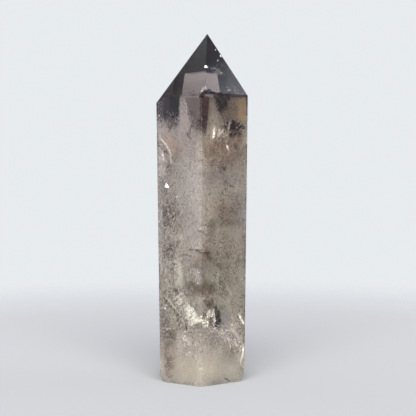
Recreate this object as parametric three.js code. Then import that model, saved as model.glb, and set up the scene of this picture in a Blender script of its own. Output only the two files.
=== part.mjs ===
// A polished tower of smoky quartz: one stone, ground flat by flat.
// A six-sided column rises from a flat foot, a little wider at the shoulder than at the foot,
// and six sloping facets close it in a point. The foot's rim is bevelled against chipping.
// Units are millimetres. +Z is up, the front edge looks along -Y, and the stone stands on z = 0.
import * as THREE from "three";
import { ConvexGeometry } from "three/addons/geometries/ConvexGeometry.js";

// Driving dimensions
const height = 90; // foot to tip
const shoulderHeight = 73; // where the column's flats give way to the point's facets
const tip = new THREE.Vector3(1.28, 0.6, height); // ground a little off the column's axis

// The column's six flats. An azimuth is the way a flat looks, in degrees from the front
// towards the right. Each flat's distance from the axis is given at the shoulder and at the
// foot, and its bevel as a height up the flat and a width across the foot.
const flats = [
  { azimuth: -32, atShoulder: 11.55, atFoot: 10.89, bevelHeight: 0.45, bevelWidth: 0.3 },
  { azimuth: 32.4, atShoulder: 11.29, atFoot: 10.38, bevelHeight: 0.5, bevelWidth: 0.3 },
  { azimuth: 89, atShoulder: 11.71, atFoot: 10.97, bevelHeight: 3.0, bevelWidth: 1.1 },
  { azimuth: 150, atShoulder: 11.9, atFoot: 11.08, bevelHeight: 1.3, bevelWidth: 0.8 },
  { azimuth: -149, atShoulder: 12.58, atFoot: 11.68, bevelHeight: 1.1, bevelWidth: 0.8 },
  { azimuth: -90, atShoulder: 11.72, atFoot: 10.83, bevelHeight: 1.7, bevelWidth: 1.15 },
];

// The point's six facets all run through the tip. A slope is measured from the horizontal.
const facets = [
  { azimuth: -30.9, slope: 52.7 },
  { azimuth: 34.5, slope: 55.2 },
  { azimuth: 86.1, slope: 56.7 },
  { azimuth: 154, slope: 53.8 },
  { azimuth: -148, slope: 50.5 },
  { azimuth: -85.5, slope: 53.5 },
];

const closeEnough = 1e-5; // millimetres within which two corners are the same corner

// The unit direction that an azimuth looks in, level with the ground
function lookingAt(azimuth) {
  const angle = THREE.MathUtils.degToRad(azimuth);
  return new THREE.Vector3(Math.sin(angle), -Math.cos(angle), 0);
}

// A ground plane through a level line, `distance` out from the axis at the foot, that leans
// by `run` outwards for every `rise` up. Its normal points out of the stone.
function planeFromFoot(azimuth, distance, run, rise) {
  const outwards = lookingAt(azimuth);
  const point = outwards.clone().multiplyScalar(distance);
  const normal = outwards.multiplyScalar(rise).setZ(-run).normalize();
  return new THREE.Plane().setFromNormalAndCoplanarPoint(normal, point);
}

function columnPlanes() {
  return flats.map(({ azimuth, atShoulder, atFoot }) =>
    planeFromFoot(azimuth, atFoot, atShoulder - atFoot, shoulderHeight),
  );
}

function bevelPlanes() {
  return flats.map(({ azimuth, atFoot, bevelHeight, bevelWidth }) =>
    planeFromFoot(azimuth, atFoot - bevelWidth, bevelWidth, bevelHeight),
  );
}

function pointPlanes() {
  return facets.map(({ azimuth, slope }) => {
    const angle = THREE.MathUtils.degToRad(slope);
    const normal = lookingAt(azimuth).multiplyScalar(Math.sin(angle)).setZ(Math.cos(angle));
    return new THREE.Plane().setFromNormalAndCoplanarPoint(normal, tip);
  });
}

function footPlane() {
  return new THREE.Plane(new THREE.Vector3(0, 0, -1), 0);
}

// Where three planes meet, or null if two of them never do
function meetingPoint(a, b, c) {
  const bc = new THREE.Vector3().crossVectors(b.normal, c.normal);
  const ca = new THREE.Vector3().crossVectors(c.normal, a.normal);
  const ab = new THREE.Vector3().crossVectors(a.normal, b.normal);
  const volume = a.normal.dot(bc);
  if (Math.abs(volume) < closeEnough) return null;
  return bc
    .multiplyScalar(-a.constant)
    .addScaledVector(ca, -b.constant)
    .addScaledVector(ab, -c.constant)
    .divideScalar(volume);
}

// The stone is all that lies behind every ground plane, so its corners are the meeting points
// that no plane cuts off.
function cornersBehind(planes) {
  const corners = [];
  for (let i = 0; i < planes.length; i++) {
    for (let j = i + 1; j < planes.length; j++) {
      for (let k = j + 1; k < planes.length; k++) {
        const point = meetingPoint(planes[i], planes[j], planes[k]);
        if (!point) continue;
        const cutOff = planes.some((plane) => plane.distanceToPoint(point) > closeEnough);
        const known = corners.some((corner) => corner.distanceTo(point) < closeEnough);
        if (!cutOff && !known) corners.push(point);
      }
    }
  }
  return corners;
}

const planes = [...columnPlanes(), ...pointPlanes(), ...bevelPlanes(), footPlane()];
const geometry = new ConvexGeometry(cornersBehind(planes));

// The origin is under the middle of the stone's own box.
geometry.computeBoundingBox();
const middle = geometry.boundingBox.getCenter(new THREE.Vector3());
geometry.translate(-middle.x, -middle.y, 0);

const smokyQuartz = new THREE.MeshPhysicalMaterial({
  color: 0xb3a79b,
  roughness: 0.04,
  metalness: 0,
  transmission: 0.9,
  ior: 1.544,
  thickness: 23,
  attenuationColor: 0x8f7f73,
  attenuationDistance: 30,
});

const tower = new THREE.Mesh(geometry, smokyQuartz);
tower.name = "tower";

const part = new THREE.Group();
part.add(tower);

export default part;
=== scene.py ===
import math
from functools import reduce

import bmesh
import bpy
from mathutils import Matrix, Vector
from mathutils.bvhtree import BVHTree


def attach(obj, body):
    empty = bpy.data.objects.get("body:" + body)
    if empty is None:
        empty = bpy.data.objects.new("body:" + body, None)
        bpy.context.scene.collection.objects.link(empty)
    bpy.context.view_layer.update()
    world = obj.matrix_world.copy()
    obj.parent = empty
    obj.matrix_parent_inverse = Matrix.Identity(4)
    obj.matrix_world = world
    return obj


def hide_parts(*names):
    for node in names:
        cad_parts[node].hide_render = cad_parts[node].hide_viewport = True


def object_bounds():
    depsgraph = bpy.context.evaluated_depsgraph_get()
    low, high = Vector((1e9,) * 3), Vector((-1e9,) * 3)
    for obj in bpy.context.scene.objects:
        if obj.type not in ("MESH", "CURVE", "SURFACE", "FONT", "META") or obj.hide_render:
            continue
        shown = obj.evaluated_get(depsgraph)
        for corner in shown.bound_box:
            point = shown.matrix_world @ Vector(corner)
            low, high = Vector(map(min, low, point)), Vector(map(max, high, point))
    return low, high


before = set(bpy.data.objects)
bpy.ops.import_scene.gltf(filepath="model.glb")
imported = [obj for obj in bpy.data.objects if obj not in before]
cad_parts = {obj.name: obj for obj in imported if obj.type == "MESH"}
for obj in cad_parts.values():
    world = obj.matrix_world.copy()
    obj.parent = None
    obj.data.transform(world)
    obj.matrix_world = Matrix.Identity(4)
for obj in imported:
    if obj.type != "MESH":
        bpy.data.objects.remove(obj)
cad_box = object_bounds()

# The camera is a little above the middle of the stone and three heights away, in line with the
# front edge. It is tipped down by three degrees, so the horizon lies above the picture's middle.
MM = 0.001
PHOTO_SIDE = 416
FOCAL_PIXELS = 1100
HORIZON_PIXELS = 58
CAMERA_PLACE = Vector((1.40, -287.96, 59.8)) * MM
CAMERA_PITCH = math.atan2(HORIZON_PIXELS, FOCAL_PIXELS)
SENSOR_WIDTH = 36
CLIP_START = 10 * MM

scene = bpy.context.scene


def placed(name, data):
    """A new object in the scene."""
    made = bpy.data.objects.new(name, data)
    scene.collection.objects.link(made)
    return made


camera_data = bpy.data.cameras.new("camera")
camera_data.sensor_width = SENSOR_WIDTH
camera_data.lens = SENSOR_WIDTH * FOCAL_PIXELS / PHOTO_SIDE
camera_data.clip_start = CLIP_START
camera = placed("camera", camera_data)
camera.location = CAMERA_PLACE
camera.rotation_euler = (math.pi / 2 - CAMERA_PITCH, 0, 0)
scene.camera = camera

# The studio is a wide pale sweep, brighter behind than below, with a large window behind the
# camera, a soft box above it and three small lamps. Clear quartz shows little but what lies
# behind and beside it, so the bright and dark windows in the stone come from here.
LIGHT_BEHIND = 0.95
LIGHT_FROM_THE_LEFT = 0.8
LIGHT_FROM_THE_RIGHT = 0.4
LIGHT_FROM_BELOW = 0.3
LIGHT_OVERHEAD = 0.38
BEHIND_HUE = (0.97, 0.985, 1.0, 1)
ROOM_HUE = (0.84, 0.91, 1.08, 1)
WINDOW_HUE = (1.0, 0.98, 0.955)
BACKDROP_COLOUR = (0.80, 0.835, 0.86, 1)

# One light gives way to the next between these values of a direction's X, Y or Z.
LEFT_TO_RIGHT = (-0.5, 0.5)
FRONT_TO_BACK = (-0.1, 0.5)
FLOOR_TO_WALL = (-0.25, 0.0)
WALL_TO_CEILING = (0.45, 0.85)

# Each lamp has the way towards it, the cosines from its middle at which its light starts and at
# which it is full, and its strength.
WINDOW_TOWARDS = Vector((0, -0.94, 0.34))
WINDOW = (WINDOW_TOWARDS, 0.72, 0.92, 4.6)
SOFT_BOX = (Vector((0, -0.64, 0.77)), 0.80, 0.95, 2.0)
LEFT_LAMP = (Vector((-0.40, 0.17, 0.90)), 0.983, 0.995, 0.65)
RIGHT_LAMP = (Vector((0.72, 0.10, 0.68)), 0.981, 0.995, 2.5)
LOW_LAMP = (Vector((0.30, 0.87, -0.38)), 0.93, 0.97, 0.45)


def feed(tree, made, feeds):
    """Sets a node's inputs to values, or links them to other nodes' outputs."""
    for name, value in feeds.items():
        if isinstance(value, bpy.types.NodeSocket):
            tree.links.new(value, made.inputs[name])
        else:
            made.inputs[name].default_value = value


def node(tree, kind, feeds=None, **settings):
    """Adds a node, sets its options and feeds its inputs."""
    made = tree.nodes.new(kind)
    for name, value in settings.items():
        setattr(made, name, value)
    feed(tree, made, feeds or {})
    return made


def math_of(tree, operation, *values):
    """The result of a Math node on these values or sockets."""
    return node(tree, "ShaderNodeMath", dict(enumerate(values)), operation=operation).outputs[0]


def total(tree, *values):
    return reduce(lambda one, other: math_of(tree, "ADD", one, other), values)


def product(tree, *values):
    return reduce(lambda one, other: math_of(tree, "MULTIPLY", one, other), values)


def vector_math(tree, operation, *values):
    """The result of a Vector Math node on these values or sockets."""
    inputs = (0, "Scale") if operation == "SCALE" else (0, 1)
    made = node(tree, "ShaderNodeVectorMath", dict(zip(inputs, values)), operation=operation)
    return made.outputs["Value" if operation in ("DOT_PRODUCT", "LENGTH") else "Vector"]


def parts_of(tree, vector):
    """The X, Y and Z of a vector."""
    return node(tree, "ShaderNodeSeparateXYZ", {0: vector}).outputs


def eased(tree, value, start, end, low=0.0, high=1.0):
    """A value carried smoothly from low to high as the given one goes from start to end."""
    feeds = {"Value": value, "From Min": start, "From Max": end, "To Min": low, "To Max": high}
    return node(tree, "ShaderNodeMapRange", feeds, interpolation_type="SMOOTHSTEP").outputs[0]


def mixed(tree, share, first, second):
    """A mix of two values, all the first one where the share is 0."""
    return node(tree, "ShaderNodeMix", {0: share, 2: first, 3: second}).outputs[0]


def mixed_colour(tree, share, first, second, blend="MIX"):
    """A mix of two colours, all the first one where the share is 0."""
    return node(
        tree, "ShaderNodeMix", {0: share, 6: first, 7: second}, data_type="RGBA", blend_type=blend
    ).outputs[2]


scene.view_settings.view_transform = "Standard"
scene.cycles.max_bounces = 32
scene.cycles.transmission_bounces = 24
scene.cycles.glossy_bounces = 16
scene.cycles.diffuse_bounces = 12
scene.cycles.transparent_max_bounces = 32

scene.world = bpy.data.worlds.new("studio")
scene.world.use_nodes = True
sky = scene.world.node_tree
sky.nodes.clear()
direction = node(sky, "ShaderNodeTexCoord").outputs["Generated"]
way = parts_of(sky, direction)


def lamp(towards, start, full, strength):
    """A round soft light on the sweep."""
    closeness = vector_math(sky, "DOT_PRODUCT", direction, towards.normalized())
    return eased(sky, closeness, start, full, 0.0, strength)


from_side = eased(sky, way["X"], *LEFT_TO_RIGHT, LIGHT_FROM_THE_LEFT, LIGHT_FROM_THE_RIGHT)
below_ceiling = eased(sky, way["Z"], *WALL_TO_CEILING, 1.0, 0.0)
walls = mixed(sky, eased(sky, way["Z"], *FLOOR_TO_WALL), LIGHT_FROM_BELOW, from_side)
room = total(sky, mixed(sky, below_ceiling, LIGHT_OVERHEAD, walls), lamp(*RIGHT_LAMP))
behind = product(sky, below_ceiling, eased(sky, way["Y"], *FRONT_TO_BACK))
sweep = mixed(sky, behind, room, total(sky, LIGHT_BEHIND, lamp(*LOW_LAMP)))
sweep_light = vector_math(sky, "SCALE", mixed_colour(sky, behind, ROOM_HUE, BEHIND_HUE), sweep)
lamps = total(sky, lamp(*WINDOW), lamp(*SOFT_BOX), lamp(*LEFT_LAMP))
lamp_light = vector_math(sky, "SCALE", WINDOW_HUE, lamps)
light_on_stone = node(
    sky, "ShaderNodeBackground", {"Color": vector_math(sky, "ADD", sweep_light, lamp_light)}
)
backdrop = node(sky, "ShaderNodeBackground", {"Color": BACKDROP_COLOUR})
seen_directly = node(sky, "ShaderNodeLightPath").outputs["Is Camera Ray"]
either = node(
    sky, "ShaderNodeMixShader",
    {0: seen_directly, 1: light_on_stone.outputs[0], 2: backdrop.outputs[0]},
)
node(sky, "ShaderNodeOutputWorld", {"Surface": either.outputs[0]})

# The floor is a round of pale matt paper under the stone, which takes its shadow. It fades into
# the sweep at its rim, so no edge of it shows.
FLOOR_RADIUS = 230 * MM
FLOOR_FADES_FROM = 110 * MM
FLOOR_SEGMENTS = 96
PAPER_COLOUR = (0.46, 0.465, 0.47, 1)
PAPER_ROUGHNESS = 0.9


def new_finish(name, values):
    """A material with these values on its Principled shader, and its tree."""
    finish = bpy.data.materials.new(name)
    finish.use_nodes = True
    tree = finish.node_tree
    feed(tree, tree.nodes["Principled BSDF"], values)
    return finish, tree


floor_mesh = bpy.data.meshes.new("floor")
floor_shape = bmesh.new()
bmesh.ops.create_circle(
    floor_shape, cap_ends=True, radius=FLOOR_RADIUS, segments=FLOOR_SEGMENTS
)
floor_shape.to_mesh(floor_mesh)
floor_shape.free()
floor = placed("floor", floor_mesh)
paper, paper_tree = new_finish(
    "floor_paper", {"Base Color": PAPER_COLOUR, "Roughness": PAPER_ROUGHNESS}
)
on_floor = node(paper_tree, "ShaderNodeTexCoord").outputs["Object"]
from_middle = vector_math(paper_tree, "LENGTH", on_floor)
feed(paper_tree, paper_tree.nodes["Principled BSDF"], {
    "Alpha": eased(paper_tree, from_middle, FLOOR_FADES_FROM, FLOOR_RADIUS, 1.0, 0.0),
})
floor_mesh.materials.append(paper)

# The stone is one smoky quartz crystal, ground into flats and polished until it is clear. Its
# edges were dulled a little on the last felt wheel, so they are narrow rounded lines.
EDGE_ROUNDING = 0.14 * MM
EDGE_SEGMENTS = 3
SAME_POINT = 0.001 * MM
SAME_FLAT = math.radians(0.5)
QUARTZ_IOR = 1.544
QUARTZ_TINT = (0.61, 0.535, 0.505)
QUARTZ_DENSITY = 60


def clear_finish(name, ior):
    """A finish as clear as glass. Light passes it straight where its IOR is 1."""
    return new_finish(name, {
        "Base Color": (1, 1, 1, 1), "Roughness": 0.0, "IOR": ior, "Transmission Weight": 1.0,
    })


def smoky_finish(name, ior, tint, density):
    """A clear finish whose inside soaks up light."""
    finish, tree = clear_finish(name, ior)
    smoke = node(tree, "ShaderNodeVolumeAbsorption", {"Color": (*tint, 1), "Density": density})
    feed(tree, tree.nodes["Material Output"], {"Volume": smoke.outputs[0]})
    return finish


tower_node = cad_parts["tower"]
stone_mesh = bpy.data.meshes.new("smoky_quartz_tower")
stone_shape = bmesh.new()
stone_shape.from_mesh(tower_node.data)
bmesh.ops.remove_doubles(stone_shape, verts=stone_shape.verts, dist=SAME_POINT)
bmesh.ops.dissolve_limit(
    stone_shape, angle_limit=SAME_FLAT, verts=stone_shape.verts, edges=stone_shape.edges
)
stone_shape.to_mesh(stone_mesh)
stone_shape.free()
stone = placed("smoky_quartz_tower", stone_mesh)
polish = stone.modifiers.new("polished edges", "BEVEL")
polish.width = EDGE_ROUNDING
polish.segments = EDGE_SEGMENTS
polish.limit_method = "NONE"
polish.harden_normals = True
stone_mesh.materials.clear()
stone_mesh.materials.append(
    smoky_finish("smoky_quartz", QUARTZ_IOR, QUARTZ_TINT, QUARTZ_DENSITY)
)
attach(stone, "root")
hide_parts("tower")


# The crystal is smokier in its point than in its column, and smokiest at the tip, where the blue
# tint of the smoke is painted reflection. Each cloud of smoke is the stone's own shape, a little
# inside the polished surface, cut off by an egg shape.
def shrunken_stone(gap):
    """The stone's form, with its surface about this far inside the stone's own."""
    mesh = stone_mesh.copy()
    form = bmesh.new()
    form.from_mesh(mesh)
    bmesh.ops.recalc_face_normals(form, faces=form.faces)
    lengths = [high - low for low, high in zip(*cad_box)]
    for corner in form.verts:
        for axis in range(3):
            corner.co[axis] *= 1 - 2 * gap / lengths[axis]
    form.to_mesh(mesh)
    form.free()
    return mesh


def egg_form(bottom, middle, reach):
    """An egg shape on the stone's axis, this far up and out in millimetres."""
    mesh = bpy.data.meshes.new("egg")
    form = bmesh.new()
    bmesh.ops.create_uvsphere(form, u_segments=64, v_segments=48, radius=1.0)
    for point in form.verts:
        point.co.x *= reach * MM
        point.co.y *= reach * MM
        point.co.z = (middle + point.co.z * (middle - bottom)) * MM
    form.to_mesh(mesh)
    form.free()
    return mesh


def finished_mesh(name, source):
    """The plain mesh of an object with its modifiers applied. The object itself is removed."""
    bpy.context.view_layer.update()
    evaluated = source.evaluated_get(bpy.context.evaluated_depsgraph_get())
    mesh = bpy.data.meshes.new_from_object(evaluated)
    mesh.name = name
    bpy.data.objects.remove(source)
    return mesh


def set_in_stone(name, mesh):
    """A piece with this mesh that rides with the stone."""
    piece = placed(name, mesh)
    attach(piece, "root")
    return piece


def cloud_of_smoke(name, gap, bottom, middle, reach, tint, density):
    """Absorbing smoke in the part of the stone that lies in an egg shape, in millimetres."""
    egg = placed("egg", egg_form(bottom, middle, reach))
    source = placed(name + "_source", shrunken_stone(gap * MM))
    overlap = source.modifiers.new("overlap", "BOOLEAN")
    overlap.operation = "INTERSECT"
    overlap.object = egg
    overlap.solver = "EXACT"
    mesh = finished_mesh(name, source)
    bpy.data.objects.remove(egg)
    mesh.materials.clear()
    mesh.materials.append(smoky_finish(name, 1.0, tint, density))
    return set_in_stone(name, mesh)


cloud_of_smoke(
    "smoke_in_point", gap=0.3, bottom=58, middle=92, reach=17, tint=(0.55, 0.50, 0.50), density=80
)
# In the tip the smoke is partly real, and darkens it, and partly painted reflection: its blue tint
# stands in for the cool light that the tip's facets mirror.
cloud_of_smoke(
    "smoke_in_tip", gap=0.6, bottom=77, middle=93, reach=10, tint=(0.37, 0.39, 0.62), density=180
)

# Healed cracks run through the whole stone below the point. Each is a curved sheet of tiny
# bubbles and mineral grains, thick in some places and almost clear in others. The grains are
# made one by one, as flat shards, where a smooth noise passes through its middle value.
SHARD_SOCKETS = {
    "Stone": ("NodeSocketObject", None),
    "Seed": ("NodeSocketInt", 0),
    "Depth": ("NodeSocketFloat", 0.3),
    "Smallest": ("NodeSocketFloat", 0.1),
    "Largest": ("NodeSocketFloat", 0.3),
    "Stretch": ("NodeSocketFloat", 1.5),
    "Sides": ("NodeSocketInt", 3),
    "Tilt": ("NodeSocketFloat", 0.8),
    "Twist": ("NodeSocketFloat", math.pi),
    "Spin": ("NodeSocketFloat", 0.5),
    "Finish": ("NodeSocketMaterial", None),
}
MOSTLY_SMALL = 2.0


def new_tree(name, sockets):
    """A Geometry Nodes tree with these inputs, its geometry first, and the sockets they give."""
    tree = bpy.data.node_groups.new(name, "GeometryNodeTree")
    tree.interface.new_socket("Geometry", in_out="INPUT", socket_type="NodeSocketGeometry")
    for socket_name, (kind, value) in sockets.items():
        socket = tree.interface.new_socket(socket_name, in_out="INPUT", socket_type=kind)
        if value is not None:
            socket.default_value = value
    tree.interface.new_socket("Geometry", in_out="OUTPUT", socket_type="NodeSocketGeometry")
    return tree, node(tree, "NodeGroupInput").outputs


def random_number(tree, seed, draw, low=0.0, high=1.0):
    """A random number for each point. Each draw from a piece's seed has its own number."""
    return node(
        tree, "FunctionNodeRandomValue", {2: low, 3: high, "Seed": total(tree, seed, draw)},
        data_type="FLOAT",
    ).outputs[1]


def random_vector(tree, seed, draw, low, high):
    """A random vector for each point, drawn in the same way."""
    return node(
        tree, "FunctionNodeRandomValue",
        {0: (low,) * 3, 1: (high,) * 3, "Seed": total(tree, seed, draw)},
        data_type="FLOAT_VECTOR",
    ).outputs[0]


def place_in_mm(tree):
    """Where a point of the stone lies, in millimetres, in a form's tree or a finish's."""
    if tree.type == "GEOMETRY":
        place = node(tree, "GeometryNodeInputPosition").outputs[0]
    else:
        place = node(tree, "ShaderNodeTexCoord").outputs["Object"]
    return vector_math(tree, "SCALE", place, 1 / MM)


def noise_of(tree, place, size, w, detail):
    """Soft noise about 0.5 at a place in millimetres, with clouds of the given size."""
    return node(
        tree, "ShaderNodeTexNoise",
        {"Vector": place, "W": w, "Scale": math_of(tree, "DIVIDE", 1.0, size), "Detail": detail},
        noise_dimensions="4D",
    ).outputs[0]


def own_number(tree, name):
    """A number that each point carries."""
    return node(
        tree, "GeometryNodeInputNamedAttribute", {"Name": name}, data_type="FLOAT"
    ).outputs[0]


def marked(tree, points, name, value):
    """The points with a named number stored on each."""
    return node(
        tree, "GeometryNodeStoreNamedAttribute",
        {"Geometry": points, "Name": name, "Value": value}, data_type="FLOAT", domain="POINT",
    ).outputs[0]


def without(tree, points, unwanted):
    """The points apart from those where this is true."""
    return node(
        tree, "GeometryNodeDeleteGeometry", {"Geometry": points, "Selection": unwanted},
        domain="POINT",
    ).outputs[0]


def moved(tree, points, way, reach):
    """The points, each moved this way by the reach."""
    offset = vector_math(tree, "SCALE", way, reach)
    return node(
        tree, "GeometryNodeSetPosition", {"Geometry": points, "Offset": offset}
    ).outputs[0]


def depth_in_stone(tree, stone_socket):
    """How far each point lies behind the nearest face of the stone, in millimetres."""
    form = node(tree, "GeometryNodeObjectInfo", {"Object": stone_socket}).outputs["Geometry"]
    nearest = node(
        tree, "GeometryNodeProximity", {"Target": form}, target_element="FACES"
    ).outputs["Position"]
    normal = node(
        tree, "GeometryNodeSampleNearestSurface",
        {"Mesh": form, "Value": node(tree, "GeometryNodeInputNormal").outputs[0]},
        data_type="FLOAT_VECTOR",
    ).outputs[0]
    place = node(tree, "GeometryNodeInputPosition").outputs[0]
    outwards = vector_math(tree, "SUBTRACT", nearest, place)
    return math_of(tree, "DIVIDE", vector_math(tree, "DOT_PRODUCT", outwards, normal), MM)


def turn_of_shard(tree, given):
    """How each shard is turned: the way its point says, and a little at random."""
    loose = parts_of(tree, random_vector(tree, given["Seed"], draw=11, low=-1.0, high=1.0))
    upright = math_of(tree, "SUBTRACT", math.pi / 2, own_number(tree, "lean"))
    faced = node(
        tree, "ShaderNodeCombineXYZ",
        {
            "X": total(tree, upright, product(tree, loose["X"], given["Tilt"])),
            "Z": total(tree, own_number(tree, "facing"), product(tree, loose["Z"], given["Twist"])),
        },
    ).outputs[0]
    spin = product(tree, loose["Y"], given["Spin"])
    spun = node(
        tree, "ShaderNodeCombineXYZ",
        {"Z": math_of(tree, "SUBTRACT", spin, own_number(tree, "slant"))},
    ).outputs[0]
    return node(
        tree, "FunctionNodeRotateRotation",
        {
            "Rotation": node(tree, "FunctionNodeEulerToRotation", {0: faced}).outputs[0],
            "Rotate By": node(tree, "FunctionNodeEulerToRotation", {0: spun}).outputs[0],
        },
        rotation_space="LOCAL",
    ).outputs[0]


def size_of_shard(tree, given):
    """Each shard's size. Most are near the smallest, and all are longer than they are wide."""
    mix = math_of(tree, "POWER", random_number(tree, given["Seed"], draw=12), MOSTLY_SMALL)
    range_of_sizes = math_of(tree, "SUBTRACT", given["Largest"], given["Smallest"])
    usual = total(tree, given["Smallest"], product(tree, mix, range_of_sizes))
    wide = product(tree, usual, own_number(tree, "size"), MM)
    tall = product(tree, wide, given["Stretch"])
    return node(tree, "ShaderNodeCombineXYZ", {"X": wide, "Y": tall, "Z": wide}).outputs[0]


def make_shards_at_points():
    """Turns points that lie deep enough in the stone into flat upright shards of mixed size.

    The points bring a shade from 0 to 1, a size in which 1 is the usual one, the way that the
    shards face, how far they lean back, and their slant from upright. A point without one of
    these counts it as 0.
    """
    tree, given = new_tree("shards_at_points", SHARD_SOCKETS)
    too_shallow = math_of(
        tree, "LESS_THAN", depth_in_stone(tree, given["Stone"]), given["Depth"]
    )
    shard = node(
        tree, "GeometryNodeMeshCircle", {"Vertices": given["Sides"], "Radius": 1.0},
        fill_type="NGON",
    ).outputs[0]
    shards = node(
        tree, "GeometryNodeInstanceOnPoints",
        {
            "Points": without(tree, given["Geometry"], too_shallow), "Instance": shard,
            "Rotation": turn_of_shard(tree, given), "Scale": size_of_shard(tree, given),
        },
    ).outputs[0]
    real = node(tree, "GeometryNodeRealizeInstances", {0: shards}).outputs[0]
    finished = node(
        tree, "GeometryNodeSetMaterial", {"Geometry": real, "Material": given["Finish"]}
    ).outputs[0]
    node(tree, "NodeGroupOutput", {0: finished})
    return tree


shards_at_points = make_shards_at_points()


def end_in_shards(tree, given, points):
    """Ends a tree that makes points by turning them into shards."""
    made = node(tree, "GeometryNodeGroup")
    made.node_tree = shards_at_points
    feed(tree, made, {name: given[name] for name in SHARD_SOCKETS} | {"Geometry": points})
    node(tree, "NodeGroupOutput", {0: made.outputs[0]})
    return tree


VEIL_SOCKETS = {
    "Grains": ("NodeSocketInt", 1000),
    "Veil Size": ("NodeSocketFloat", 9.0),
    "Veil Thickness": ("NodeSocketFloat", 0.02),
    "Patch Size": ("NodeSocketFloat", 6.0),
    "Patch Start": ("NodeSocketFloat", 0.45),
    "Patch End": ("NodeSocketFloat", 0.6),
    "Bottom": ("NodeSocketFloat", 0.0),
    "Bottom Fade": ("NodeSocketFloat", 0.001),
    "Top": ("NodeSocketFloat", 68.0),
    "Top Fade": ("NodeSocketFloat", 8.0),
    "Top Wave": ("NodeSocketFloat", 22.0),
    "Sway": ("NodeSocketFloat", 5.0),
}
VEILS_DRAWN_UP = (1.0, 1.0, 0.7)
WAVE_SIZE = 7.0
HIGHEST_WAVE = 0.3
COMBED_SIZE = 3.0


def points_in_stone(tree, given):
    """Points at random in the box round the stone, from the bottom to the highest wave."""
    box = node(tree, "GeometryNodeBoundBox", {0: given["Geometry"]}).outputs
    low = parts_of(tree, box["Min"])
    size = parts_of(tree, vector_math(tree, "SUBTRACT", box["Max"], box["Min"]))
    highest = total(tree, given["Top"], product(tree, given["Top Wave"], HIGHEST_WAVE))
    height = product(tree, math_of(tree, "SUBTRACT", highest, given["Bottom"]), MM)
    slab = node(
        tree, "ShaderNodeCombineXYZ", {"X": size["X"], "Y": size["Y"], "Z": height}
    ).outputs[0]
    corner = node(
        tree, "ShaderNodeCombineXYZ",
        {"X": low["X"], "Y": low["Y"], "Z": product(tree, given["Bottom"], MM)},
    ).outputs[0]
    share = random_vector(tree, given["Seed"], draw=0, low=0.0, high=1.0)
    anywhere = vector_math(tree, "ADD", corner, vector_math(tree, "MULTIPLY", share, slab))
    return node(
        tree, "GeometryNodePoints", {"Count": given["Grains"], "Position": anywhere}
    ).outputs[0]


def make_veil_tree():
    """Scatters shards on the curved sheets where a smooth noise passes its middle value."""
    tree, given = new_tree("veils_of_shards", VEIL_SOCKETS | SHARD_SOCKETS)
    seed = given["Seed"]
    points = points_in_stone(tree, given)
    place = place_in_mm(tree)
    drawn_up = vector_math(tree, "MULTIPLY", place, VEILS_DRAWN_UP)
    veil = noise_of(tree, drawn_up, given["Veil Size"], w=seed, detail=1.0)
    off_veil = math_of(tree, "ABSOLUTE", math_of(tree, "SUBTRACT", veil, 0.5))
    on_veil = math_of(tree, "LESS_THAN", off_veil, given["Veil Thickness"])
    patches = noise_of(
        tree, drawn_up, given["Patch Size"], w=total(tree, seed, 40), detail=3.0
    )
    patch = eased(tree, patches, given["Patch Start"], given["Patch End"])

    height = parts_of(tree, place)["Z"]
    waves = noise_of(tree, place, WAVE_SIZE, w=3.3, detail=2.0)
    wave = product(tree, math_of(tree, "SUBTRACT", waves, 0.5), given["Top Wave"])
    fade_from = math_of(tree, "SUBTRACT", given["Top"], given["Top Fade"])
    below_top = eased(tree, total(tree, height, wave), fade_from, given["Top"], 1.0, 0.0)
    full_from = total(tree, given["Bottom"], given["Bottom Fade"])
    in_height = product(tree, eased(tree, height, given["Bottom"], full_from), below_top)
    chance = product(tree, product(tree, on_veil, patch), in_height)
    luck = random_number(tree, seed, draw=7)
    kept = without(tree, points, math_of(tree, "GREATER_THAN", luck, chance))

    shaded = marked(tree, kept, "shade", random_number(tree, seed, draw=13))
    combed = noise_of(tree, place, COMBED_SIZE, w=total(tree, seed, 60), detail=1.0)
    slant = product(tree, math_of(tree, "SUBTRACT", combed, 0.5), given["Sway"])
    slanted = marked(tree, shaded, "slant", slant)
    return end_in_shards(tree, given, marked(tree, slanted, "size", 1.0))


def grown(name, tree, form, finish, **values):
    """The plain mesh that a tree grows from a form, as a piece that rides with the stone."""
    source = placed(name + "_source", form)
    growth = source.modifiers.new("growth", "NODES")
    growth.node_group = tree
    values |= {"stone": tower_node, "finish": finish}
    for item in tree.interface.items_tree:
        if item.in_out == "INPUT" and item.name != "Geometry":
            key = item.name.replace(" ", "_").lower()
            growth[item.identifier] = values.get(key, item.default_value)
    return set_in_stone(name, finished_mesh(name, source))


veil_tree = make_veil_tree()


def veils(name, finish, **values):
    return grown(name, veil_tree, stone_mesh, finish, **values)


LIGHT_LET_THROUGH = 0.4
TINT_CLOUD_SIZE = 14.0
TINT_PER_MM_ACROSS = 0.016


def ramp(tree, value, stops):
    """The colour that a value picks from these stops."""
    made = node(tree, "ShaderNodeValToRGB", {"Fac": value})
    elements = made.color_ramp.elements
    while len(elements) < len(stops):
        elements.new(0.5)
    for element, (position, colour) in zip(elements, stops):
        element.position = position
        element.color = (*colour, 1)
    return made.outputs["Color"]


def own_shade(tree):
    """The shade from 0 to 1 that each grain carries."""
    return node(tree, "ShaderNodeAttribute", attribute_name="shade").outputs["Fac"]


def let_light_through(tree, colour, share):
    """Colours a grain, and lets this share of the light glow through it."""
    grain = tree.nodes["Principled BSDF"]
    feed(tree, grain, {"Base Color": colour})
    glow = node(tree, "ShaderNodeBsdfTranslucent", {"Color": colour})
    both = node(tree, "ShaderNodeMixShader", {0: share, 1: grain.outputs[0], 2: glow.outputs[0]})
    feed(tree, tree.nodes["Material Output"], {"Surface": both.outputs[0]})


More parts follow.
